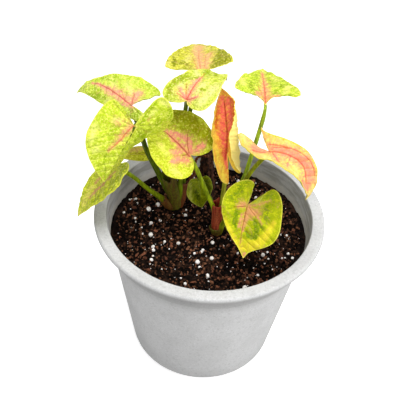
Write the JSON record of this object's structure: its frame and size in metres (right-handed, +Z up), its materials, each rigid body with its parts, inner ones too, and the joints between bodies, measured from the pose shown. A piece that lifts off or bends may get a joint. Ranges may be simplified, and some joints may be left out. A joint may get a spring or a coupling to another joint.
{
  "type": "potted syngonium",
  "caption": "Young arrowhead plant with pink-flushed lime leaves in a round tapered light grey pot filled with potting soil.",
  "frame": {"origin": "centre of the flat face the pot stands on", "axes": "+Z up along the pot's axis, -Y towards the front of the plant"},
  "size_m": [0.1689, 0.1636, 0.2109],
  "materials": {
    "grey_pot": "matte, light grey with fine speckle",
    "dark_soil": "loose potting soil with bark and perlite",
    "stalk_green": "smooth fleshy green stalks with brown sheaths",
    "dry_brown": "dry fibrous brown",
    "leaf_top": "satin leaf, mottled green and pink",
    "leaf_back_left": "satin leaf, mottled green and pink",
    "leaf_upper_middle": "satin leaf, mottled green and pink",
    "leaf_front_left": "satin leaf, mottled green and pink",
    "leaf_back_right": "satin leaf, mottled green and pink",
    "leaf_right": "satin leaf, mottled green and pink",
    "leaf_folded": "satin leaf, mottled green and pink",
    "leaf_middle": "satin leaf, mottled green and pink",
    "leaf_small": "satin leaf, mottled green and pink",
    "leaf_front": "satin leaf, mottled green and pink",
    "leaf_low_left": "satin leaf, mottled green and pink",
    "leaf_hidden": "satin leaf, mottled green and pink"
  },
  "bodies": {
    "root": {"pot": "grey_pot", "soil": "dark_soil", "shoot_left": "stalk_green", "shoot_right": "stalk_green", "old_stem": "dry_brown", "dry_stalk": "dry_brown", "leaf_top": "leaf_top", "leaf_back_left": "leaf_back_left", "leaf_upper_middle": "leaf_upper_middle", "leaf_front_left": "leaf_front_left", "leaf_back_right": "leaf_back_right", "leaf_right": "leaf_right", "leaf_folded": "leaf_folded", "leaf_middle": "leaf_middle", "leaf_small": "leaf_small", "leaf_front": "leaf_front", "leaf_low_left": "leaf_low_left", "leaf_hidden": "leaf_hidden"}
  },
  "joints": []
}
